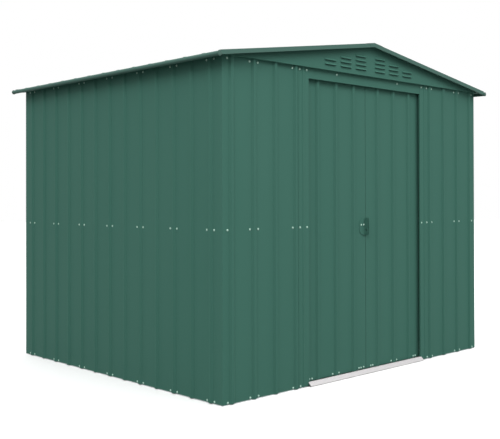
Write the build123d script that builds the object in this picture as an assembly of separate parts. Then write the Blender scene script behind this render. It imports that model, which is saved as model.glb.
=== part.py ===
"""Metal garden storage shed with an apex roof and a pair of sliding doors.

Ribbed sheet-steel walls stand on folded base rails and are tied by corner posts and by rails at
mid height and at the top. A louvred gable closes each end under a ribbed roof with rolled eaves.
Two leaves hang on rollers in a track behind the front wall.

Millimetres, +Z up, ground at z = 0, the front faces -Y, the origin is under the middle of the shed.
"""
import math
import os

from build123d import *

# Sheets
sheet = 1.0                # thickness of the ribbed sheets and flashings
rail_steel = 1.2           # thickness of the folded rails and tracks
post_steel = 1.5           # thickness of the corner posts and roof beams
rib_pitch = 160.0          # from one rib to the next
rib_base = 36.0            # width of a rib where it leaves the flat pan
rib_crown = 14.0           # width of its flat top
rib_height = 11.0          # how far it stands out from the pan

# Walls
wall_width = 2366.0        # across the front, over the flat pans
wall_depth = 2110.0        # front to back, over the flat pans
wall_top = 1830.0          # top edge of the front and back sheets
wall_bottom = 5.0          # lower edge of the sheets above the ground

# Frame behind the sheets
rail_height = 40.0         # web of the base, middle and top rails
rail_foot = 45.0           # width of the foot of a base or top rail
rail_lip = 12.0            # lip along the inner edge of that foot
mid_rail_centre = 914.0    # height of the middle rails
mid_rail_depth = 8.0       # they are shallow, so that the leaves pass behind them

# Roof
roof_pitch = 8.77          # slope in degrees
eave_rise = 6.5            # from the top of the end walls to the underside of the roof at the side wall
eave_overhang = 62.0       # from the side wall to the middle of the rolled eave
verge_overhang = 54.0      # from the end wall to the outer face of the verge trim
verge_height = 24.0        # face of the verge trim
verge_flange = 22.0        # its top flange, on the half rib along the edge of the sheet
verge_lip = 10.0           # its lower lip
tube_radius = 12.5         # rolled eave
roll_drop = 4.0            # its middle below the underside of the roof sheet
eave_leg = 76.0            # flat leg of the eave piece, from the middle of the roll over the wall
eave_gap = 0.5             # between the roll and what butts against it
plug_radius = 14.5         # rim of the end plugs of the rolled eaves
plug_rim = 3.0             # thickness of the plug at its edge
plug_thickness = 6.0       # and over its flat middle
plug_slant = 6.0           # width of the slanted ring between the two
plug_stem = 10.0           # how far its stem reaches into the roll
plug_play = 0.3            # between the stem and the roll
ridge_gap = 1.0            # half the gap between the two roof sheets
cap_leg = 75.0             # each slope of the ridge cap
cap_tab_half = 38.0        # half the width of its turned-down ends, over the mitre of the verge trims
beam_width = 40.0          # ridge beam and purlins
beam_drop = 38.0           # legs of the ridge beam
purlin_drop = 30.0         # legs of a purlin
purlin_place = 0.5         # a purlin lies half-way down its slope

# Gables
gable_stand = 20.0         # outer face of the gable in front of the wall pans
gable_foot = 35.0          # its lower flange, which lies on the wall and the top rail
gable_flange = 16.0        # its sloping top flanges under the roof sheet
louvre_length = 106.0
louvre_height = 12.0
louvre_stand = 8.0         # how far the hood stands out
louvre_taper = 12.0        # how much shorter the hood is at its outer edge, at each end
louvre_row = 26.0          # from one row to the next
louvre_first = 38.0        # lowest row above the top of the wall
louvre_places = (92.0, 230.0, 368.0)   # columns, from the middle of the gable
louvre_counts = (4, 3, 2)  # rows in each column

# Doorway
door_half = 533.0          # half the clear width between the jamb flashings
lintel_height = 61.0       # from the top of the wall down to its lower edge
jamb_cover = 87.0          # face of a jamb flashing over the wall sheet
jamb_rib_place = 47.0      # small stiffening rib, from the edge of the doorway
jamb_rib_base = 16.0
jamb_rib_crown = 6.0
jamb_rib_height = 4.0
return_depth = 9.0         # how far the jamb and lintel returns reach in from the wall face
jamb_lip = 12.0
lintel_hem = 8.0

# Leaves
leaf_face = 25.0           # pans of the leaves behind the pans of the wall
leaf_return = 15.0         # folded edges of a leaf
leaf_gap = 2.6             # from the middle of the doorway to the meeting edge of a leaf
leaf_lap = 17.0            # how far a closed leaf reaches behind the jamb
leaf_bottom = 24.0
leaf_drop = 40.0           # from the top of the wall down to the top of a leaf
leaf_rib_first = 115.0     # first rib from the middle of the doorway
leaf_bar = 20.0            # width of the channels behind the leaf sheet
bar_gap = 0.3              # between the ends of the rails and the stiles of a leaf
leaf_slide = 515.0         # travel of each leaf

# Tracks and hangers
track_spare = 35.0         # how far both tracks reach past an open leaf
track_centre = 32.0        # middle of the tracks behind the wall face
track_width = 24.0
track_drop = 28.8          # from the top rail down to the lips of the track
track_slot = 12.0          # slot between the lips
groove_width = 16.0        # floor track
groove_height = 15.0
hanger_first = 90.0        # inner hanger of a leaf, from the middle of the doorway
hanger_inset = 50.0        # outer hanger, from the outer edge of the leaf
hanger_width = 30.0
hanger_foot = 1.5
hanger_plate = 2.0
wheel_radius = 9.0
wheel_width = 8.0
axle_radius = 2.5
wheel_gap = 0.3            # running gap between a wheel and the lips
guide_length = 40.0
guide_plate = 4.0
guide_clear = 4.0          # from the guide down to the floor of its track

# Handles
handle_height = 106.0
handle_centre = 904.5
handle_offset = 5.0        # from the middle of the doorway to the near edge
pull_width = 55.0
keeper_width = 25.0
handle_plate = 3.0
hasp_plate = 2.0
hasp_reach = 23.0          # how far the hasp stands out from the leaf
hasp_corner = 8.0          # rounding of its outer corners
hasp_slot_width = 8.0
hasp_slot_length = 18.0
hasp_slot_edge = 6.0       # from the outer edge of the hasp to its slot
hasp_slot_drop = 25.0      # middle of the slot below the middle of the handle
pull_corner = 40.0         # rounding of the outer corners of the pull
keeper_corner = 8.0        # and of the keeper

# Threshold ramp
ramp_ear = 8.0             # how far the ramp reaches past the doorway at each end
ramp_steel = 1.5
ramp_reach = 22.0          # outer edge of the ramp in front of the wall face
ramp_lip = 6.0             # height of its lip
ramp_tuck = 4.0            # how far the foot of the lip is set back
ramp_top = 26.0
ramp_shelf = 7.5           # flat top behind the wall face
ramp_clear = 0.3           # between the ramp and the jambs

# Values that follow
half_width = wall_width / 2
half_depth = wall_depth / 2
slope = math.radians(roof_pitch)
ridge_under = wall_top + eave_rise + half_width * math.tan(slope)
roll_place = (half_width + eave_overhang) / math.cos(slope)
roof_end = roll_place - tube_radius - eave_gap
trim_top = rib_height + 2 * sheet
verge_face = half_depth + verge_overhang
wall_edge = door_half + sheet
leaf_edge = door_half + leaf_lap
leaf_back = leaf_face + leaf_return
leaf_top = wall_top - leaf_drop
door_head = wall_top - lintel_height
track_half = leaf_edge + leaf_slide + track_spare
track_floor = wall_top - rail_steel - track_drop
ramp_half = door_half + ramp_ear
spare = 1.0                # cutting blocks reach this far past what they cut


def parallel(points, distance):
    """The line at a set distance to the left of a path of straight runs, with mitred corners."""
    normals = []
    for (x0, y0), (x1, y1) in zip(points, points[1:]):
        run = math.hypot(x1 - x0, y1 - y0)
        normals.append(((y0 - y1) / run, (x1 - x0) / run))
    normals = [normals[0]] + normals + [normals[-1]]
    line = []
    for (x, y), (ax, ay), (bx, by) in zip(points, normals, normals[1:]):
        share = distance / (1 + ax * bx + ay * by)
        line.append((x + share * (ax + bx), y + share * (ay + by)))
    return line


def folded(plane, points, thickness, length):
    """A bent sheet: its section follows the path, with the thickness on the path's left."""
    outline = points + parallel(points, thickness)[::-1]
    section = make_face(Polyline(*outline, close=True))
    return extrude(plane * section, length)


def block(x0, x1, y0, y1, z0, z1):
    """A rectangular block between two corners."""
    return Pos(x0, y0, z0) * Box(x1 - x0, y1 - y0, z1 - z0, align=(Align.MIN, Align.MIN, Align.MIN))


def level(z):
    """Upright pieces are drawn in plan, x along the wall and y inwards, and rise from this level."""
    return Plane(origin=(0, 0, z), x_dir=(1, 0, 0), z_dir=(0, 0, 1))


def across(x):
    """Rails are drawn in section, y inwards and z up, and run along the wall from this place."""
    return Plane(origin=(x, 0, 0), x_dir=(0, 1, 0), z_dir=(1, 0, 0))


def roof_section(y):
    """Right roof slope in section: x down the slope from the ridge, y square to it, towards -Y."""
    down = (math.cos(slope), 0, -math.sin(slope))
    return Plane(origin=(0, y, ridge_under), x_dir=down, z_dir=(0, -1, 0))


def roof_run(u):
    """Right roof slope seen along the slope: x is +Y, y square to the roof, running down from u."""
    down = (math.cos(slope), 0, -math.sin(slope))
    start = (u * math.cos(slope), 0, ridge_under - u * math.sin(slope))
    return Plane(origin=start, x_dir=(0, 1, 0), z_dir=down)


def on_front(shape):
    return Pos(0, -half_depth, 0) * shape


def on_back(shape):
    return Rot(0, 0, 180) * on_front(shape)


def on_left(shape):
    return Rot(0, 0, -90) * Pos(0, -half_width, 0) * shape


def on_right(shape):
    return Rot(0, 0, 90) * Pos(0, -half_width, 0) * shape


def mirrored(shape):
    return mirror(shape, about=Plane.YZ)


def save(name, *solids):
    shape = solids[0] if len(solids) == 1 else Compound(children=list(solids))
    export_step(shape, f"parts/{name}.step")


def rib_points(centre, base, crown, height, outward):
    """Four corners of a trapezoid rib on a path that runs along +x."""
    return [
        (centre - base / 2, 0),
        (centre - crown / 2, outward * height),
        (centre + crown / 2, outward * height),
        (centre + base / 2, 0),
    ]


def ribs_between(start, end, first):
    """Places of the ribs that stand whole between two edges, from the first one on."""
    places = []
    place = first
    while place + rib_base / 2 < end:
        if place - rib_base / 2 > start:
            places.append(place)
        place += rib_pitch
    return places


def ribbed_sheet(start, end, first, rib_end, bottom, top):
    """An upright ribbed sheet, pans on y = 0 and ribs towards -y, with no rib past rib_end."""
    points = [(start, 0)]
    for place in ribs_between(start, rib_end, first):
        points += rib_points(place, rib_base, rib_crown, rib_height, -1)
    points.append((end, 0))
    return folded(level(bottom), points, sheet, top - bottom)


# Base, middle and top rails

def edge_rail(start, end, corner):
    """Base rail: web behind the sheet, foot on the ground, lip inside, cut away for the posts."""
    inner = sheet + rail_foot
    path = [(sheet, rail_height), (sheet, 0), (inner, 0), (inner, rail_lip)]
    rail = folded(across(start), path, rail_steel, end - start)
    if corner:
        for x in (start, end - rail_foot):
            rail -= block(x, x + rail_foot, 0, inner + spare, rail_steel, rail_height + spare)
    return rail


def mid_rail(start, end):
    """Shallow channel behind the sheet at mid height, open inwards."""
    low = mid_rail_centre - rail_height / 2
    high = mid_rail_centre + rail_height / 2
    inner = sheet + mid_rail_depth
    path = [(inner, high), (sheet, high), (sheet, low), (inner, low)]
    return folded(across(start), path, rail_steel, end - start)


def upside_down(rail):
    """A base rail turned over becomes the top rail of the same wall."""
    return Pos(0, 0, wall_top) * mirror(rail, about=Plane.XY)


end_rail_half = half_width - sheet
side_rail_half = half_depth - sheet - rail_foot
full_end_rail = edge_rail(-end_rail_half, end_rail_half, True)
side_rail = edge_rail(-side_rail_half, side_rail_half, False)
doorway_cut = block(-wall_edge, wall_edge, 0, sheet + rail_steel + spare, rail_steel,
                    rail_height + spare)


def corner_post():
    """Angle inside the front left corner, from the foot of the base rail to the top rail."""
    outer = -half_width + sheet
    path = [(outer, sheet + rail_foot), (outer, sheet), (outer + rail_foot, sheet)]
    return folded(level(rail_steel), path, post_steel, wall_top - 2 * rail_steel)


# Walls

side_half = half_depth - sheet
side_rib_first = -rib_pitch * math.floor((side_half - rib_base / 2) / rib_pitch)
end_rib_first = -rib_pitch * math.floor((half_width - rib_base / 2) / rib_pitch)


def side_sheet():
    """Side wall: runs up to the sloping leg of the eave piece, between the end walls."""
    high = wall_top + eave_rise + 2 * rib_height
    panel = on_right(
        ribbed_sheet(-side_half, side_half, side_rib_first, side_half, wall_bottom, high))
    above = extrude(roof_section(half_depth) * Pos(0, -sheet) * Rectangle(
        2 * roll_place, 4 * rib_height, align=(Align.MIN, Align.MIN)), wall_depth)
    return panel - above


# Roof

def roof_sheet():
    """Right roof sheet: ribs from the ridge to the eave, and a half rib along each verge."""
    half = verge_face - sheet
    edge = [
        (-half, rib_height), (-half + rib_crown, rib_height), (-half + (rib_crown + rib_base) / 2, 0),
    ]
    points = list(edge)
    for place in ribs_between(-half + rib_base, half - rib_base, side_rib_first):
        points += rib_points(place, rib_base, rib_crown, rib_height, 1)
    points += [(-x, y) for x, y in edge[::-1]]
    start = ridge_gap / math.cos(slope)
    return folded(roof_run(start), points, sheet, roof_end - start)


def eave_roll():
    """Right eave piece: a rolled edge with a flat leg that lies under the sheet."""
    ring = Pos(roll_place, -roll_drop) * (Circle(tube_radius) - Circle(tube_radius - sheet))
    roll = extrude(roof_section(verge_face) * ring, 2 * verge_face)
    return roll + eave_leg_plate()


def eave_leg_plate():
    width = eave_leg - tube_radius + sheet
    leg = Pos(roll_place - eave_leg, 0) * Rectangle(width, sheet, align=(Align.MIN, Align.MAX))
    half = verge_face - sheet
    return extrude(roof_section(half) * leg, 2 * half)


def eave_plug():
    """Push-in plug of the right eave roll, at the front: bevelled head and a stem in the roll."""
    middle = Pos(roll_place, -roll_drop)
    head = extrude(roof_section(-verge_face) * middle * Circle(plug_radius), plug_thickness)
    outer_edge = head.edges().sort_by(Axis.Y)[0]
    head = chamfer(outer_edge, plug_thickness - plug_rim, plug_slant, reference=head.faces().filter_by(
        GeomType.CYLINDER)[0])
    stem_radius = tube_radius - sheet - plug_play
    return head + extrude(roof_section(-verge_face + plug_stem) * middle * Circle(stem_radius), plug_stem)


def verge_trim():
    """Front right verge: face, top flange on the half rib and lower lip, mitred at the ridge."""
    face = -verge_face
    low = trim_top - verge_height
    path = [
        (face + verge_lip, low), (face, low), (face, trim_top), (face + verge_flange, trim_top),
    ]
    start = -verge_height
    trim = folded(roof_run(start), path, -sheet, roof_end - start)
    past_ridge = block(-2 * verge_height, 0, face - spare, 0, 0, 2 * ridge_under)
    return trim - past_ridge


def ridge_cap():
    """Folded cap over the verge trims and the roof ribs, with its ends turned down at the verges."""
    right = roof_section(0).from_local_coords((cap_leg, trim_top, 0))
    apex = ridge_under + trim_top / math.cos(slope)
    path = [(-right.X, right.Z), (0, apex), (right.X, right.Z)]
    half = verge_face + sheet
    end_plane = Plane(origin=(0, half, 0), x_dir=(1, 0, 0), z_dir=(0, -1, 0))
    cap = folded(end_plane, path, sheet, 2 * half)
    shoulder = apex - cap_tab_half * math.tan(slope)
    top = [(-cap_tab_half, shoulder), (0, apex), (cap_tab_half, shoulder)]
    bottom = [(x, z - verge_height) for x, z in top[::-1]]
    tab = make_face(Polyline(*(top + bottom), close=True))
    front_tab = extrude(Plane(origin=(0, -verge_face, 0), x_dir=(1, 0, 0), z_dir=(0, -1, 0)) * tab, sheet)
    return cap + front_tab + mirror(front_tab, about=Plane.XZ)


beam_half_length = half_depth + gable_stand - sheet


def ridge_beam():
    """Channel under the ridge, open downwards, from gable to gable."""
    half = beam_width / 2
    shoulder = ridge_under - half * math.tan(slope)
    path = [
        (-half, shoulder - beam_drop), (-half, shoulder), (0, ridge_under),
        (half, shoulder), (half, shoulder - beam_drop),
    ]
    end_plane = Plane(origin=(0, beam_half_length, 0), x_dir=(1, 0, 0), z_dir=(0, -1, 0))
    return folded(end_plane, path, -post_steel, 2 * beam_half_length)


def purlin():
    """Channel half-way down the right slope, open downwards, from gable to gable."""
    middle = roll_place * purlin_place
    half = beam_width / 2
    path = [
        (middle - half, -purlin_drop), (middle - half, 0), (middle + half, 0),
        (middle + half, -purlin_drop),
    ]
    return folded(roof_section(beam_half_length), path, -post_steel, 2 * beam_half_length)


# Gables

def louvre_hood(x, z, inset):
    """Pressed hood of one louvre, or with an inset the hollow inside it."""
    back = -gable_stand + (sheet if inset == 0 else 2 * sheet)
    front = -gable_stand - louvre_stand + inset
    low = z - louvre_height / 2 - inset
    high = z + louvre_height / 2 - inset
    wide = louvre_length - 2 * inset
    narrow = wide - 2 * louvre_taper
    base = Plane(origin=(x, back, low), x_dir=(1, 0, 0), z_dir=(0, -1, 0))
    edge = Plane(origin=(x, front, low), x_dir=(1, 0, 0), z_dir=(0, -1, 0))
    root = Rectangle(wide, high - low, align=(Align.CENTER, Align.MIN))
    brim = Rectangle(narrow, 2 * sheet, align=(Align.CENTER, Align.MIN))
    return loft([base * root, edge * brim])


def gable():
    """Gable panel in front of the wall pans, with a foot, end returns and sloping top flanges."""
    face = -gable_stand
    end = wall_top + eave_rise
    outline = [
        (-half_width, wall_top), (half_width, wall_top), (half_width, end), (0, ridge_under),
        (-half_width, end),
    ]
    front_plane = Plane(origin=(0, face + sheet, 0), x_dir=(1, 0, 0), z_dir=(0, -1, 0))
    panel = extrude(front_plane * make_face(Polyline(*outline, close=True)), sheet)
    inner = half_width - sheet
    panel += block(-inner, inner, face, face + gable_foot, wall_top, wall_top + sheet)
    strip = Rectangle(half_width / math.cos(slope), sheet, align=(Align.MIN, Align.MAX))
    flange = extrude(roof_section(face + gable_flange) * strip, gable_flange)
    side = block(inner, half_width, face, 0, wall_top, end)
    notch = Pos(roll_place * purlin_place, 0) * Rectangle(beam_width, 4 * sheet)
    flange -= extrude(roof_section(face + gable_flange) * notch, gable_flange - sheet)
    flange -= block(-spare, beam_width / 2, face + sheet, 0, 0, 2 * ridge_under)
    panel = panel + flange + side + mirrored(flange) + mirrored(side)
    for place, count in zip(louvre_places, louvre_counts):
        for row in range(count):
            z = wall_top + louvre_first + row * louvre_row
            for x in (-place, place):
                panel += louvre_hood(x, z, 0)
                panel -= louvre_hood(x, z, sheet)
    return panel


# Doorway

def jamb():
    """Right jamb flashing: over the face of the wall sheet and round its edge."""
    middle = door_half + jamb_rib_place
    rib = rib_points(middle, jamb_rib_base, jamb_rib_crown, jamb_rib_height, -1)
    outer = [(door_half + jamb_cover, 0)] + rib[::-1] + [(door_half, 0)]
    path = [(x, y - sheet) for x, y in outer]
    path += [(door_half, return_depth), (wall_edge + jamb_lip, return_depth)]
    flashing = folded(level(wall_bottom), path, -sheet, wall_top - wall_bottom)
    rail_bottom = wall_top - rail_height
    return flashing - block(0, half_width, sheet, 2 * return_depth, rail_bottom, wall_top + spare)


def lintel():
    path = [
        (0, wall_top), (0, door_head), (return_depth, door_head),
        (return_depth, door_head + lintel_hem),
    ]
    return folded(across(-door_half), path, sheet, 2 * door_half)


def top_track():
    """Hanging track: a channel under the top rail with two lips that carry the wheels."""
    half = track_width / 2
    lip = track_slot / 2
    top = wall_top - rail_steel
    path = [
        (track_centre - lip, track_floor), (track_centre - half, track_floor),
        (track_centre - half, top), (track_centre + half, top),
        (track_centre + half, track_floor), (track_centre + lip, track_floor),
    ]
    return folded(across(-track_half), path, -rail_steel, 2 * track_half)


def bottom_track():
    """Floor track: an open channel on the foot of the front base rail."""
    half = groove_width / 2
    base = rail_steel
    path = [
        (track_centre - half, base + groove_height), (track_centre - half, base),
        (track_centre + half, base), (track_centre + half, base + groove_height),
    ]
    return folded(across(-track_half), path, rail_steel, 2 * track_half)


def ramp():
    """Sloping threshold in front of the floor track, open at its ends."""
    path = [
        (-ramp_reach + ramp_tuck, 0), (-ramp_reach, ramp_lip), (0, ramp_top), (ramp_shelf, ramp_top),
        (ramp_shelf, rail_steel),
    ]
    shape = folded(across(-ramp_half), path, -ramp_steel, 2 * ramp_half)
    for side in (-1, 1):
        inner = side * (door_half - ramp_clear)
        outer = side * (ramp_half + spare)
        low, high = sorted((inner, outer))
        shape -= block(low, high, -sheet - ramp_clear, ramp_shelf + spare, -spare, ramp_top + spare)
    return shape


# Leaves, drawn for the right-hand side

def leaf_sheet():
    points = [(leaf_gap, leaf_return), (leaf_gap, 0)]
    for place in ribs_between(leaf_gap, leaf_edge, leaf_rib_first):
        points += rib_points(place, rib_base, rib_crown, rib_height, -1)
    points += [(leaf_edge, 0), (leaf_edge, leaf_return)]
    path = [(x, y + leaf_face) for x, y in points]
    return folded(level(leaf_bottom), path, sheet, leaf_top - leaf_bottom)


def leaf_frame():
    """Two stiles and three rails, channels with their webs on the back of the sheet."""
    front = leaf_face + sheet
    bars = []
    for x0 in (leaf_gap + sheet, leaf_edge - sheet - leaf_bar):
        path = [(x0, leaf_back), (x0, front), (x0 + leaf_bar, front), (x0 + leaf_bar, leaf_back)]
        bars.append(folded(level(leaf_bottom), path, rail_steel, leaf_top - leaf_bottom))
    start = leaf_gap + sheet + leaf_bar + bar_gap
    end = leaf_edge - sheet - leaf_bar - bar_gap
    for z0 in (leaf_bottom, mid_rail_centre - leaf_bar / 2, leaf_top - leaf_bar):
        path = [(leaf_back, z0 + leaf_bar), (front, z0 + leaf_bar), (front, z0), (leaf_back, z0)]
        bars.append(folded(across(start), path, rail_steel, end - start))
    return bars


def hanger(x):
    """Bracket on the top rail of the leaf, with an axle and a wheel on each lip of the track."""
    x0 = x - hanger_width / 2
    x1 = x + hanger_width / 2
    axle_z = track_floor + rail_steel + wheel_gap + wheel_radius
    foot = block(x0, x1, leaf_face + sheet, leaf_back, leaf_top, leaf_top + hanger_foot)
    y0 = track_centre - hanger_plate / 2
    y1 = track_centre + hanger_plate / 2
    plate = block(x0, x1, y0, y1, leaf_top, axle_z + axle_radius + hanger_plate)
    reach = track_width / 2 - rail_steel - hanger_plate / 2
    far = Plane(origin=(x, track_centre + reach, axle_z), x_dir=(1, 0, 0), z_dir=(0, -1, 0))
    near = Plane(origin=(x, track_centre - reach, axle_z), x_dir=(1, 0, 0), z_dir=(0, 1, 0))
    axle = extrude(far * Circle(axle_radius), 2 * reach)
    shape = foot + plate + axle
    for end in (far, near):
        shape += extrude(end * Circle(wheel_radius), wheel_width)
    return shape


def guide(x):
    """Block under the leaf that runs in the floor track."""
    x0 = x - guide_length / 2
    x1 = x + guide_length / 2
    low = 2 * rail_steel + guide_clear
    y0 = track_centre - guide_plate / 2
    y1 = track_centre + guide_plate / 2
    return block(x0, x1, y0, y1, low, leaf_bottom)


def hasp():
    """Upright flange with a padlock slot and rounded outer corners, standing out from the leaf."""
    side = Plane(origin=(handle_offset, leaf_face, handle_centre), x_dir=(0, -1, 0), z_dir=(-1, 0, 0))
    outline = Rectangle(hasp_reach, handle_height, align=(Align.MIN, Align.CENTER))
    outline = fillet(outline.vertices().sort_by(Axis.X)[-2:], hasp_corner)
    middle = hasp_reach - hasp_slot_edge - hasp_slot_width / 2
    slot = Rot(0, 0, 90) * SlotOverall(hasp_slot_length, hasp_slot_width)
    outline -= Pos(middle, -hasp_slot_drop) * slot
    return extrude(side * outline, -hasp_plate)


def handle(width, corner):
    """Plate on the leaf with its outer corners rounded, and a hasp along its inner edge."""
    low = handle_centre - handle_height / 2
    plate = block(handle_offset, handle_offset + width, leaf_face - handle_plate, leaf_face,
                  low, low + handle_height)
    outer_corners = plate.edges().filter_by(Axis.Y).sort_by(Axis.X)[-2:]
    return fillet(outer_corners, corner) + hasp()


os.makedirs("parts", exist_ok=True)

save("front_base_rail", on_front(full_end_rail - doorway_cut))
save("back_base_rail", on_back(full_end_rail))
save("left_base_rail", on_left(side_rail))
save("right_base_rail", on_right(side_rail))

front_left_post = on_front(corner_post())
front_posts = [front_left_post, mirrored(front_left_post)]
save("corner_posts", *front_posts, *[mirror(post, about=Plane.XZ) for post in front_posts])

post_end = half_width - sheet - rail_foot
jamb_end = wall_edge + jamb_lip
right_front_mid_rail = on_front(mid_rail(jamb_end, post_end))
save("front_mid_rails", mirrored(right_front_mid_rail), right_front_mid_rail)
save("back_mid_rail", on_back(mid_rail(-post_end, post_end)))
side_mid_rail = mid_rail(-side_rail_half, side_rail_half)
save("side_mid_rails", on_left(side_mid_rail), on_right(side_mid_rail))

save("front_top_rail", on_front(upside_down(full_end_rail)))
save("back_top_rail", on_back(upside_down(full_end_rail)))
save("side_top_rails", on_left(upside_down(side_rail)), on_right(upside_down(side_rail)))

jamb_edge = door_half + jamb_cover
front_left = on_front(
    ribbed_sheet(-half_width, -wall_edge, end_rib_first, -jamb_edge, wall_bottom, wall_top))
save("front_wall_left", front_left)
save("front_wall_right", mirrored(front_left))
save("back_wall", on_back(
    ribbed_sheet(-half_width, half_width, end_rib_first, half_width, wall_bottom, wall_top)))
right_wall = side_sheet()
save("right_wall", right_wall)
save("left_wall", mirrored(right_wall))

right_jamb = on_front(jamb())
save("right_door_jamb", right_jamb)
save("left_door_jamb", mirrored(right_jamb))
save("door_lintel", on_front(lintel()))
save("door_top_track", on_front(top_track()))
save("door_bottom_track", on_front(bottom_track()))
save("threshold_ramp", on_front(ramp()))

eave_seat = eave_leg_plate()
end_panel = on_front(gable()) - eave_seat - mirrored(eave_seat)
save("front_gable", end_panel)
save("back_gable", mirror(end_panel, about=Plane.XZ))

save("ridge_beam", ridge_beam())
right_purlin = purlin()
save("roof_purlins", mirrored(right_purlin), right_purlin)

right_roof = roof_sheet()
save("right_roof_sheet", right_roof)
save("left_roof_sheet", mirrored(right_roof))
right_eave = eave_roll()
save("right_eave_roll", right_eave)
save("left_eave_roll", mirrored(right_eave))
right_plug = eave_plug()
front_plugs = [right_plug, mirrored(right_plug)]
save("eave_end_caps", *front_plugs, *[mirror(plug, about=Plane.XZ) for plug in front_plugs])
front_right_trim = verge_trim()
front_left_trim = mirrored(front_right_trim)
save("front_right_verge", front_right_trim)
save("front_left_verge", front_left_trim)
save("back_right_verge", mirror(front_right_trim, about=Plane.XZ))
save("back_left_verge", mirror(front_left_trim, about=Plane.XZ))
save("ridge_cap", ridge_cap())

right_leaf = on_front(leaf_sheet())
save("right_door_sheet", right_leaf)
save("left_door_sheet", mirrored(right_leaf))
right_bars = [on_front(bar) for bar in leaf_frame()]
save("right_door_frame", *right_bars)
save("left_door_frame", *[mirrored(bar) for bar in right_bars])
hanger_places = (hanger_first, leaf_edge - hanger_inset)
right_runners = [on_front(make(x)) for make in (hanger, guide) for x in hanger_places]
save("right_door_runners", *right_runners)
save("left_door_runners", *[mirrored(runner) for runner in right_runners])
save("right_door_handle", on_front(handle(keeper_width, keeper_corner)))
save("left_door_handle", mirrored(on_front(handle(pull_width, pull_corner))))
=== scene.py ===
import math

import bpy
from mathutils import Matrix, Vector


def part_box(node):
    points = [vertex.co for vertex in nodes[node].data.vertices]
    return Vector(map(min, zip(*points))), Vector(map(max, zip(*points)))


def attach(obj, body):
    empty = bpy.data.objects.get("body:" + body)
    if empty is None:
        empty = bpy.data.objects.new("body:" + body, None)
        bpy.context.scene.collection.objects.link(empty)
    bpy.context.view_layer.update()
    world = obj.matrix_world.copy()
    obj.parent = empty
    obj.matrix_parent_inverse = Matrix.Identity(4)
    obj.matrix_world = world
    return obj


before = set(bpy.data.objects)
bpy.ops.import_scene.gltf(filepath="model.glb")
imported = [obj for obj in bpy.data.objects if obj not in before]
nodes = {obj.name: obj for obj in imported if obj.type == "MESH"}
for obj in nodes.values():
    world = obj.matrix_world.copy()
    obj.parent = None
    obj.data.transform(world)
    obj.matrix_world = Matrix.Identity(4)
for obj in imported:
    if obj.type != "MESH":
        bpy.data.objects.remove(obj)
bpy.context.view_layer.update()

# Base, middle and top rails, corner posts, ridge beam, purlins and door tracks: roll-formed from
# hot-dip galvanised strip. The zinc has frozen in flat crystals a few millimetres across, which
# catch the light at different angles, so the grey is mottled and dull.

zinc_crystal_mm = 9.0
zinc_cloud_mm = 167.0       # the slow drift in grey along a strip
crystal_greys = ("#a9adaf", "#c9cccd")
cloud_grey = "#b3b6b7"
zinc_roughness = (0.38, 0.55)
zinc_metallic = 0.85

rail_endings = ("_rail", "_rails", "_track", "_posts", "_purlins", "_beam")
leaf_frames = ["left_door_frame", "right_door_frame"]


def linear(code):
    """An sRGB hex colour as a linear RGBA."""
    parts = [int(code[i:i + 2], 16) / 255 for i in (1, 3, 5)]
    return [p / 12.92 if p <= 0.04045 else ((p + 0.055) / 1.055) ** 2.4 for p in parts] + [1.0]


def add(tree, kind, sockets=(), links=(), **settings):
    """A node with its settings, its socket values and the sources that are linked to it."""
    node = tree.nodes.new(kind)
    for key, value in settings.items():
        setattr(node, key, value)
    for key, value in dict(sockets).items():
        node.inputs[key].default_value = value
    for key, source in dict(links).items():
        tree.links.new(source, node.inputs[key])
    return node


def new_material(name):
    """A new material, its node tree and the shader that everything plugs into."""
    material = bpy.data.materials.new(name)
    material.use_nodes = True
    tree = material.node_tree
    return material, tree, tree.nodes["Principled BSDF"]


def finish_nodes(names, material):
    """Gives CAD nodes one material, in every slot."""
    for name in names:
        mesh = nodes[name].data
        if not mesh.materials:
            mesh.materials.append(material)
        for index in range(len(mesh.materials)):
            mesh.materials[index] = material


galvanised, tree, shader = new_material("galvanised_steel")
place = add(tree, "ShaderNodeTexCoord").outputs["Object"]
crystals = add(tree, "ShaderNodeTexVoronoi", {"Scale": 1000 / zinc_crystal_mm}, {"Vector": place})
tone = add(tree, "ShaderNodeSeparateColor", links={"Color": crystals.outputs["Color"]}).outputs[0]
clouds = add(tree, "ShaderNodeTexNoise", {"Scale": 1000 / zinc_cloud_mm, "Detail": 3.0},
             {"Vector": place}).outputs["Fac"]
crystal_colour = add(tree, "ShaderNodeMix",
                     {6: linear(crystal_greys[0]), 7: linear(crystal_greys[1])}, {0: tone},
                     data_type="RGBA").outputs[2]
zinc_colour = add(tree, "ShaderNodeMix", {7: linear(cloud_grey)}, {0: clouds, 6: crystal_colour},
                  data_type="RGBA").outputs[2]
tree.links.new(zinc_colour, shader.inputs["Base Color"])
dullness = add(tree, "ShaderNodeMapRange",
               {"To Min": zinc_roughness[0], "To Max": zinc_roughness[1]}, {"Value": tone})
tree.links.new(dullness.outputs[0], shader.inputs["Roughness"])
shader.inputs["Metallic"].default_value = zinc_metallic

rails = [name for name in nodes if name.endswith(rail_endings)]
finish_nodes(rails + leaf_frames, galvanised)

# Wall, roof and leaf sheets: thin steel roll-formed with raised ribs, coated dark green outside
# and with a thin pale grey backing coat inside. The wide flat pans are never quite flat, so the
# sheen drifts in soft clouds along the sheet, and the coating has a fine orange-peel grain.

wall_greens = ("#3b675b", "#416b5f")
backing_grey = "#9aa39e"
pan_cloud_mm = 260.0
cloud_draw = 0.18           # the clouds' scale along a sheet over that across it
grain_mm = 2.5              # the real grain is under 1 mm, too fine to show, and is drawn coarser
wave_strength = 0.35
wave_height = 0.004
grain_strength = 0.25
grain_height = 0.0002
coat_roughness = (0.55, 0.66)
coat_gloss = 0.08           # the coat is nearly matt, and shows no pale glare at a low angle
inward = -0.1               # place times normal: below this a face looks inwards


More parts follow.
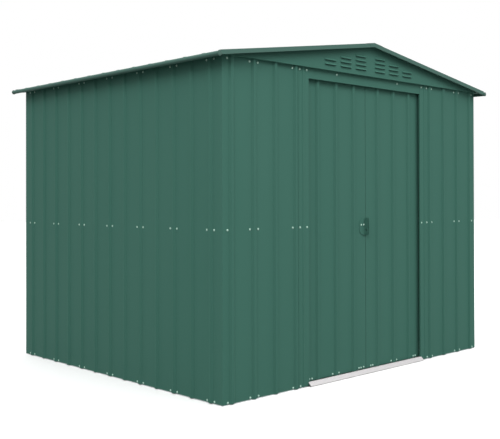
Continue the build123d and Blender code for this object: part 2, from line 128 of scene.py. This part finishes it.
def coated_steel(name, out_axis, upright=True, greens=wall_greens):
    """Green coated sheet whose pale backing coat shows on the faces that look inwards."""
    material, tree, shader = new_material(name)
    place = add(tree, "ShaderNodeTexCoord").outputs["Object"]
    draw = (1.0, 1.0, cloud_draw) if upright else (cloud_draw, 1.0, 1.0)
    drawn_out = add(tree, "ShaderNodeMapping", {"Scale": draw}, {"Vector": place}).outputs[0]
    cloud = add(tree, "ShaderNodeTexNoise", {"Scale": 1000 / pan_cloud_mm, "Detail": 2.0},
                {"Vector": drawn_out}).outputs["Fac"]
    grain = add(tree, "ShaderNodeTexNoise", {"Scale": 1000 / grain_mm, "Detail": 2.0},
                {"Vector": place}).outputs["Fac"]
    colour = add(tree, "ShaderNodeMix", {6: linear(greens[0]), 7: linear(greens[1])}, {0: cloud},
                 data_type="RGBA").outputs[2]
    if out_axis is not None:
        position = add(tree, "ShaderNodeSeparateXYZ", links={"Vector": place}).outputs[out_axis]
        normal = add(tree, "ShaderNodeNewGeometry").outputs["Normal"]
        facing = add(tree, "ShaderNodeSeparateXYZ", links={"Vector": normal}).outputs[out_axis]
        outward = add(tree, "ShaderNodeMath", links={0: position, 1: facing},
                      operation="MULTIPLY").outputs[0]
        inner = add(tree, "ShaderNodeMath", {1: inward}, {0: outward},
                    operation="LESS_THAN").outputs[0]
        colour = add(tree, "ShaderNodeMix", {7: linear(backing_grey)}, {0: inner, 6: colour},
                     data_type="RGBA").outputs[2]
    tree.links.new(colour, shader.inputs["Base Color"])
    sheen = add(tree, "ShaderNodeMapRange",
                {"To Min": coat_roughness[0], "To Max": coat_roughness[1]}, {"Value": cloud})
    tree.links.new(sheen.outputs[0], shader.inputs["Roughness"])
    waves = add(tree, "ShaderNodeBump", {"Strength": wave_strength, "Distance": wave_height},
                {"Height": cloud}).outputs[0]
    peel = add(tree, "ShaderNodeBump", {"Strength": grain_strength, "Distance": grain_height},
               {"Height": grain, "Normal": waves}).outputs[0]
    tree.links.new(peel, shader.inputs["Normal"])
    shader.inputs["Specular IOR Level"].default_value = coat_gloss
    return material


end_wall_coat = coated_steel("green_coated_steel_end_walls", 1)
side_wall_coat = coated_steel("green_coated_steel_side_walls", 0)
roof_coat = coated_steel("green_coated_steel_roof", 2, upright=False)
finish_nodes(["front_wall_left", "front_wall_right", "back_wall", "front_gable", "back_gable",
              "left_door_sheet", "right_door_sheet"], end_wall_coat)
finish_nodes(["left_wall", "right_wall"], side_wall_coat)
finish_nodes(["left_roof_sheet", "right_roof_sheet"], roof_coat)

# Flashings: jambs and lintel are folded from strip coated green on both faces, and pull and keeper
# are pressed steel in the same green. Verge trims, ridge cap and rolled eaves come from another
# coil, a little greyer and lighter than the sheets.

trim_greens = ("#46665d", "#4c6b62")

doorway_coat = coated_steel("green_coated_steel_doorway_flashings", None)
finish_nodes(["left_door_jamb", "right_door_jamb", "door_lintel", "left_door_handle",
              "right_door_handle"], doorway_coat)
roof_trim_coat = coated_steel("green_coated_steel_roof_flashings", None, upright=False,
                              greens=trim_greens)
roof_trims = [name for name in nodes if name.endswith(("_verge", "_roll", "ridge_cap"))]
finish_nodes(roof_trims, roof_trim_coat)

# End caps of the rolled eaves: small push-in discs, injection moulded in dark green polyethylene.
# The plastic is matt and slightly waxy, and darker than the steel round it.

cap_greens = ("#2b4d44", "#33564c")
moulded_grain_mm = 1.1      # the real texture is finer and would not show
moulded_strength = 0.2
moulded_height = 0.0002
cap_roughness = 0.6
polyethylene_ior = 1.5

cap_plastic, tree, shader = new_material("moulded_polyethylene_dark_green")
place = add(tree, "ShaderNodeTexCoord").outputs["Object"]
fleck = add(tree, "ShaderNodeTexNoise", {"Scale": 1000 / moulded_grain_mm, "Detail": 2.0},
            {"Vector": place}).outputs["Fac"]
cap_colour = add(tree, "ShaderNodeMix", {6: linear(cap_greens[0]), 7: linear(cap_greens[1])},
                 {0: fleck}, data_type="RGBA").outputs[2]
tree.links.new(cap_colour, shader.inputs["Base Color"])
texture = add(tree, "ShaderNodeBump", {"Strength": moulded_strength, "Distance": moulded_height},
              {"Height": fleck}).outputs[0]
tree.links.new(texture, shader.inputs["Normal"])
shader.inputs["Roughness"].default_value = cap_roughness
shader.inputs["IOR"].default_value = polyethylene_ior
finish_nodes(["eave_end_caps"], cap_plastic)

# Hangers, wheels and floor guides of the leaves: pressed and turned steel, zinc plated. The plate
# is brighter and smoother than the galvanised strip, faintly mottled and without crystals.

plate_greys = ("#bfc2c3", "#d6d8d8")
plate_mottle_mm = 7.1
plate_roughness = (0.28, 0.42)
plate_metallic = 0.9

zinc_plate, tree, shader = new_material("zinc_plated_steel")
place = add(tree, "ShaderNodeTexCoord").outputs["Object"]
mottle = add(tree, "ShaderNodeTexNoise", {"Scale": 1000 / plate_mottle_mm, "Detail": 3.0},
             {"Vector": place}).outputs["Fac"]
plate_colour = add(tree, "ShaderNodeMix", {6: linear(plate_greys[0]), 7: linear(plate_greys[1])},
                   {0: mottle}, data_type="RGBA").outputs[2]
tree.links.new(plate_colour, shader.inputs["Base Color"])
shine = add(tree, "ShaderNodeMapRange",
            {"To Min": plate_roughness[0], "To Max": plate_roughness[1]}, {"Value": mottle})
tree.links.new(shine.outputs[0], shader.inputs["Roughness"])
shader.inputs["Metallic"].default_value = plate_metallic
finish_nodes(["left_door_runners", "right_door_runners"], zinc_plate)

# Threshold ramp: an extruded aluminium nosing in mill finish, which lies between the jambs. It is
# almost white in this light, with fine drawing lines along its length.

ramp_greys = ("#b9b6b7", "#cbc8c9")
draw_line_mm = 2.2          # the real lines are hair-fine, and are drawn coarser so that they show
line_draw = 0.02            # the lines' scale along the ramp over that across it
line_strength = 0.3
line_height = 0.0003
ramp_roughness = 0.45
ramp_metallic = 0.55

ramp_metal, tree, shader = new_material("mill_finish_aluminium")
place = add(tree, "ShaderNodeTexCoord").outputs["Object"]
along_ramp = add(tree, "ShaderNodeMapping", {"Scale": (line_draw, 1.0, 1.0)},
                 {"Vector": place}).outputs[0]
lines = add(tree, "ShaderNodeTexNoise", {"Scale": 1000 / draw_line_mm, "Detail": 2.0},
            {"Vector": along_ramp}).outputs["Fac"]
ramp_colour = add(tree, "ShaderNodeMix", {6: linear(ramp_greys[0]), 7: linear(ramp_greys[1])},
                  {0: lines}, data_type="RGBA").outputs[2]
tree.links.new(ramp_colour, shader.inputs["Base Color"])
drawn = add(tree, "ShaderNodeBump", {"Strength": line_strength, "Distance": line_height},
            {"Height": lines}).outputs[0]
tree.links.new(drawn, shader.inputs["Normal"])
shader.inputs["Roughness"].default_value = ramp_roughness
shader.inputs["Metallic"].default_value = ramp_metallic
finish_nodes(["threshold_ramp"], ramp_metal)

# Screws: zinc-plated pan-head self-tappers, each on a pale weather washer, so that they read as
# pale green-grey dots. On the side walls they stand in pairs either side of every second rib, in
# three rows level with the base, middle and top rails.

washer_radius = 0.0062
washer_depth = 0.0010
head_radius = 0.0044
head_depth = 0.0028
head_straight = 0.6         # share of the head's depth that is under its dome
dome_flat = 0.55            # radius of the dome's flat top over the head's
screw_sides = 12
screw_soft_angle = math.radians(50)
upper_face = 0.9            # a face that looks up has a normal above this

head_tones = ("#a2c6b8", "#b6d5c8")
head_wear_mm = 2.5
head_roughness = 0.45

sheet = 0.001               # thickness of a sheet
rib_pitch = 0.160
screw_ribs = range(-6, 7, 2)    # every second rib, counted from the middle one
screw_off = 0.030           # from the middle of a rib to the screw beside it
foot_row = 0.014
middle_row = 0.914
top_row = 1.814
rows = (foot_row, middle_row, top_row)
wall_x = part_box("front_wall_right")[1][0]    # outer face of a side wall

screw_metal, tree, shader = new_material("zinc_plated_screw")
place = add(tree, "ShaderNodeTexCoord").outputs["Object"]
wear = add(tree, "ShaderNodeTexNoise", {"Scale": 1000 / head_wear_mm, "Detail": 2.0},
           {"Vector": place}).outputs["Fac"]
head_colour = add(tree, "ShaderNodeMix", {6: linear(head_tones[0]), 7: linear(head_tones[1])},
                  {0: wear}, data_type="RGBA").outputs[2]
tree.links.new(head_colour, shader.inputs["Base Color"])
shader.inputs["Roughness"].default_value = head_roughness


def model_screw():
    """Washer and domed head with their seat on z = 0, facing +z."""
    bpy.ops.object.select_all(action="DESELECT")
    bpy.ops.mesh.primitive_cylinder_add(vertices=screw_sides, radius=washer_radius,
                                        depth=washer_depth, location=(0, 0, washer_depth / 2))
    screw = bpy.context.object
    bpy.ops.object.transform_apply(location=True)
    bpy.ops.object.mode_set(mode="EDIT")
    bpy.ops.mesh.select_mode(type="FACE")
    bpy.ops.mesh.select_all(action="DESELECT")
    bpy.ops.object.mode_set(mode="OBJECT")
    for face in screw.data.polygons:
        face.select = face.normal.z > upper_face
    bpy.ops.object.mode_set(mode="EDIT")
    bpy.ops.mesh.inset(thickness=washer_radius - head_radius)
    for share in (head_straight, 1 - head_straight):
        rise = (0, 0, head_depth * share)
        bpy.ops.mesh.extrude_region_move(TRANSFORM_OT_translate={"value": rise})
    bpy.ops.transform.resize(value=(dome_flat, dome_flat, 1.0))
    bpy.ops.object.mode_set(mode="OBJECT")
    bpy.ops.object.shade_smooth_by_angle(angle=screw_soft_angle)
    screw.data.materials.append(screw_metal)
    return screw


def set_screws(name, body, seats):
    """Copies of the screw at the seats, each (place, outward direction), joined as one piece."""
    copies = []
    for place, outward in seats:
        copy = screw_pattern.copy()
        copy.data = screw_pattern.data.copy()
        bpy.context.collection.objects.link(copy)
        turn = Vector((0, 0, 1)).rotation_difference(Vector(outward)).to_matrix().to_4x4()
        copy.data.transform(Matrix.Translation(place) @ turn)
        copies.append(copy)
    bpy.ops.object.select_all(action="DESELECT")
    for copy in copies:
        copy.select_set(True)
    bpy.context.view_layer.objects.active = copies[0]
    bpy.ops.object.join()
    piece = bpy.context.object
    piece.name = name
    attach(piece, body)


screw_pattern = model_screw()
screw_pattern.name = "screw_pattern"

for side, sign in (("left", -1), ("right", 1)):
    seats = []
    for rib in screw_ribs:
        for off in (-screw_off, screw_off):
            for z in rows:
                seats.append(((sign * wall_x, rib * rib_pitch + off, z), (sign, 0, 0)))
    set_screws(f"{side}_wall_screws", "shed", seats)

# Front and back walls: a screw at the corner, a pair either side of the second rib, and one
# beside the last rib. The jamb flashings have two more, one of them on the edge of the doorway,
# and the lintel has one at each side. The back wall's screws keep to every second rib.

wall_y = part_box("right_wall")[1][1] + sheet    # outer face of the front and back walls
corner_off = 0.035          # this and the next four are from the corner of the wall
pair_rib = 0.223
last_off = 0.518
jamb_off = 0.576
edge_off = 0.6335
lintel_screw = 0.290        # from the middle of the doorway
jamb_stand = sheet          # the jambs stand out from the wall by their own sheet

front_seats = []
for sign in (-1, 1):
    for z in rows:
        for off in (corner_off, pair_rib - screw_off, pair_rib + screw_off, last_off):
            front_seats.append(((sign * (wall_x - off), -wall_y, z), (0, -1, 0)))
        front_seats.append(((sign * (wall_x - jamb_off), -wall_y - jamb_stand, z), (0, -1, 0)))
    for z in (middle_row, top_row):
        front_seats.append(((sign * (wall_x - edge_off), -wall_y - jamb_stand, z), (0, -1, 0)))
    front_seats.append(((sign * lintel_screw, -wall_y, top_row), (0, -1, 0)))
set_screws("front_wall_screws", "shed", front_seats)

back_seats = []
for z in rows:
    for rib in screw_ribs:
        for off in (-screw_off, screw_off):
            back_seats.append(((rib * rib_pitch + off, wall_y, z), (0, 1, 0)))
    for sign in (-1, 1):
        back_seats.append(((sign * (wall_x - corner_off), wall_y, z), (0, 1, 0)))
set_screws("back_wall_screws", "shed", back_seats)

# Leaf screws: along the foot and the head of each leaf, beside its ribs, and at its middle rail,
# where two of them hold the pull and one the keeper. They are the same screws as on the walls.

leaf_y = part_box("right_door_handle")[1][1]    # front face of a leaf, where the keeper lies
leaf_foot_row = 0.034
leaf_top_row = 1.780
leaf_offs = {"left": (0.022, 0.047, 0.066, 0.251, 0.307, 0.485, 0.507),
             "right": (0.047, 0.066, 0.251, 0.307, 0.485, 0.507)}
handle_offs = {"left": (0.020, 0.043), "right": (0.0175,)}
handle_face = 0.003         # the face of pull and keeper stands out from the leaf by this

for side, sign in (("left", -1), ("right", 1)):
    seats = []
    for off in leaf_offs[side]:
        for z in (leaf_foot_row, leaf_top_row):
            seats.append(((sign * off, leaf_y, z), (0, -1, 0)))
    for off in handle_offs[side]:
        seats.append(((sign * off, leaf_y - handle_face, middle_row), (0, -1, 0)))
    set_screws(f"{side}_leaf_screws", f"{side}_door", seats)

# Edge seal: a soft rubber strip, extruded in the green of the sheets and pushed onto the meeting
# edge of the left leaf. It stands out by most of the gap between the leaves, has a rounded nose,
# and is duller than the steel, with a faint bloom on its skin.

leaf_return_depth = 0.015   # how far the leaf's edge is folded back
seal_reach = 0.0042         # how far the strip stands out from the leaf's edge
seal_depth = 0.0120
seal_inset = 0.0010         # from the leaf's face, its head and its foot
seal_nose = 0.0018
seal_nose_steps = 4
seal_soft_angle = math.radians(40)

seal_greens = ("#3a6458", "#416a5f")
bloom_mm = 16.7
skin_strength = 0.2
skin_height = 0.0003
rubber_roughness = 0.75
rubber_ior = 1.5
rubber_gloss = 0.2

seal_rubber, tree, shader = new_material("extruded_rubber_green")
place = add(tree, "ShaderNodeTexCoord").outputs["Object"]
bloom = add(tree, "ShaderNodeTexNoise", {"Scale": 1000 / bloom_mm, "Detail": 3.0},
            {"Vector": place}).outputs["Fac"]
seal_colour = add(tree, "ShaderNodeMix", {6: linear(seal_greens[0]), 7: linear(seal_greens[1])},
                  {0: bloom}, data_type="RGBA").outputs[2]
tree.links.new(seal_colour, shader.inputs["Base Color"])
skin = add(tree, "ShaderNodeBump", {"Strength": skin_strength, "Distance": skin_height},
           {"Height": bloom}).outputs[0]
tree.links.new(skin, shader.inputs["Normal"])
shader.inputs["Roughness"].default_value = rubber_roughness
shader.inputs["IOR"].default_value = rubber_ior
shader.inputs["Specular IOR Level"].default_value = rubber_gloss

leaf_low, leaf_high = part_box("left_door_sheet")
leaf_pan = leaf_high[1] - leaf_return_depth
seal_size = (seal_reach, seal_depth, leaf_high[2] - leaf_low[2] - 2 * seal_inset)
seal_centre = (leaf_high[0] + seal_reach / 2, leaf_pan + seal_inset + seal_depth / 2,
               (leaf_low[2] + leaf_high[2]) / 2)

bpy.ops.object.select_all(action="DESELECT")
bpy.ops.mesh.primitive_cube_add(size=1.0, location=seal_centre)
seal = bpy.context.object
seal.name = "leaf_edge_seal"
seal.scale = seal_size
bpy.ops.object.transform_apply(location=True, rotation=True, scale=True)
bpy.ops.object.mode_set(mode="EDIT")
bpy.ops.mesh.select_mode(type="EDGE")
bpy.ops.mesh.select_all(action="DESELECT")
bpy.ops.object.mode_set(mode="OBJECT")
for edge in seal.data.edges:
    ends = [seal.data.vertices[i].co for i in edge.vertices]
    outer = all(end.x > seal_centre[0] for end in ends)
    edge.select = outer and abs(ends[0].z - ends[1].z) > seal_depth
bpy.ops.object.mode_set(mode="EDIT")
bpy.ops.mesh.bevel(offset=seal_nose, segments=seal_nose_steps)
bpy.ops.object.mode_set(mode="OBJECT")
bpy.ops.object.shade_smooth_by_angle(angle=seal_soft_angle)
seal.data.materials.append(seal_rubber)
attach(seal, "left_door")

# Roof screws: the same screws, in pairs either side of every second rib. They go through the pans
# over the eave and the purlin, and through the sides of the ridge cap into the roof sheets.

roof_pitch = math.radians(8.77)
roof_rib_height = 0.011
ridge_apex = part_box("ridge_cap")[1][2]
ridge_screw = 0.060         # this and the next two are down the slope from the ridge
purlin_screw = 0.630
eave_screw = 1.170

for side, sign in (("left", -1), ("right", 1)):
    upward = Vector((sign * math.sin(roof_pitch), 0, math.cos(roof_pitch)))
    downslope = Vector((sign * math.cos(roof_pitch), 0, -math.sin(roof_pitch)))
    cap_line = Vector((0, 0, ridge_apex))
    pan_line = cap_line - upward * (roof_rib_height + 2 * sheet)
    seats = []
    for rib in screw_ribs:
        for off in (-screw_off, screw_off):
            along = Vector((0, rib * rib_pitch + off, 0))
            seats.append((cap_line + downslope * ridge_screw + along, upward))
            for reach in (purlin_screw, eave_screw):
                seats.append((pan_line + downslope * reach + along, upward))
    set_screws(f"{side}_roof_screws", "shed", seats)

bpy.data.objects.remove(screw_pattern)

# The studio: a wide floor in matt paint, which is white to the eye and keeps a faint shadow of the
# shed, and a bright even room that is lighter overhead. Two large lamps, at the front right and at
# the left, light the front and the left wall from above and from the side.

floor_width = 60.0
floor_whites = ("#f6f6f6", "#fafafa")
bounce_greys = ("#686a69", "#6c6e6d")    # what light that bounces finds in place of the whites
floor_dust_mm = 2000.0
floor_roughness = 0.9
floor_gloss = 0.0
level_at_horizon = 0.42
level_overhead = 1.8
level_seen = 1.0
room_white = (1, 1, 1, 1)

# Each lamp's name, place, aim, width in metres and power in watts.
lamps = (
    ("front_right_lamp", (4.0, -6.7, 8.0), (0, -1.0, 0.9), 5.0, 350.0),
    ("front_left_lamp", (-4.9, -4.0, 5.8), (-1.1, -0.8, 0.9), 3.0, 230.0),
)


def seen_directly(tree):
    """One where the camera, a reflection or a glass looks, nought for light that bounces."""
    rays = add(tree, "ShaderNodeLightPath")
    first = add(tree, "ShaderNodeMath", operation="MAXIMUM",
                links={0: rays.outputs["Is Camera Ray"], 1: rays.outputs["Is Glossy Ray"]})
    return add(tree, "ShaderNodeMath", operation="MAXIMUM",
               links={0: first.outputs[0], 1: rays.outputs["Is Transmission Ray"]}).outputs[0]


bpy.ops.object.select_all(action="DESELECT")
bpy.ops.mesh.primitive_plane_add(size=floor_width, location=(0, 0, 0))
floor = bpy.context.object
floor.name = "studio_floor"
floor_paint, tree, shader = new_material("matt_floor_paint")
place = add(tree, "ShaderNodeTexCoord").outputs["Object"]
dust = add(tree, "ShaderNodeTexNoise", {"Scale": 1000 / floor_dust_mm},
           {"Vector": place}).outputs["Fac"]
as_seen = add(tree, "ShaderNodeMix", {6: linear(floor_whites[0]), 7: linear(floor_whites[1])},
              {0: dust}, data_type="RGBA").outputs[2]
as_lit = add(tree, "ShaderNodeMix", {6: linear(bounce_greys[0]), 7: linear(bounce_greys[1])},
             {0: dust}, data_type="RGBA").outputs[2]
floor_colour = add(tree, "ShaderNodeMix", links={0: seen_directly(tree), 6: as_lit, 7: as_seen},
                   data_type="RGBA").outputs[2]
tree.links.new(floor_colour, shader.inputs["Base Color"])
shader.inputs["Roughness"].default_value = floor_roughness
shader.inputs["Specular IOR Level"].default_value = floor_gloss
floor.data.materials.append(floor_paint)

world = bpy.data.worlds.new("studio_light")
bpy.context.scene.world = world
world.use_nodes = True
tree = world.node_tree
room = tree.nodes["Background"]
room.inputs["Color"].default_value = room_white
direction = add(tree, "ShaderNodeTexCoord").outputs["Generated"]
height = add(tree, "ShaderNodeSeparateXYZ", links={"Vector": direction}).outputs["Z"]
level = add(tree, "ShaderNodeMapRange", {"To Min": level_at_horizon, "To Max": level_overhead},
            {"Value": height}).outputs[0]
tree.links.new(level, room.inputs["Strength"])
white = add(tree, "ShaderNodeBackground", {"Color": room_white, "Strength": level_seen})
mix = add(tree, "ShaderNodeMixShader",
          links={"Fac": seen_directly(tree), 1: room.outputs[0], 2: white.outputs[0]})
tree.links.new(mix.outputs[0], tree.nodes["World Output"].inputs["Surface"])

for name, place, aim, width, power in lamps:
    light = bpy.data.lights.new(name, "AREA")
    light.shape = "SQUARE"
    light.size = width
    light.energy = power
    holder = bpy.data.objects.new(name, light)
    holder.location = place
    direction = Vector(aim) - Vector(place)
    holder.rotation_euler = direction.to_track_quat("-Z", "Y").to_euler()
    bpy.context.collection.objects.link(holder)

# The camera stands at the front left, a little over a metre up, and looks up by a third of a
# degree. The shift only moves the shed to its place in the frame.

frame_width = 500.0
frame_height = 439.0
focal_px = 835.0
centre_px = (289.84, 191.69)
camera_place = (-3.9952, -4.3715, 1.0857)
camera_turn = math.radians(-44.929)
camera_tilt = math.radians(90.378)
camera_roll = math.radians(-0.16)
sensor = 36.0

camera = bpy.data.cameras.new("camera")
camera.sensor_width = sensor
camera.lens = focal_px / frame_width * sensor
camera.shift_x = (frame_width / 2 - centre_px[0]) / frame_width
camera.shift_y = (centre_px[1] - frame_height / 2) / frame_width
viewer = bpy.data.objects.new("camera", camera)
viewer.location = camera_place
stance = Matrix.Rotation(camera_turn, 3, "Z") @ Matrix.Rotation(camera_tilt, 3, "X")
viewer.rotation_euler = (stance @ Matrix.Rotation(camera_roll, 3, "Z")).to_euler()
bpy.context.collection.objects.link(viewer)
bpy.context.scene.camera = viewer
bpy.context.scene.view_settings.view_transform = "Standard"
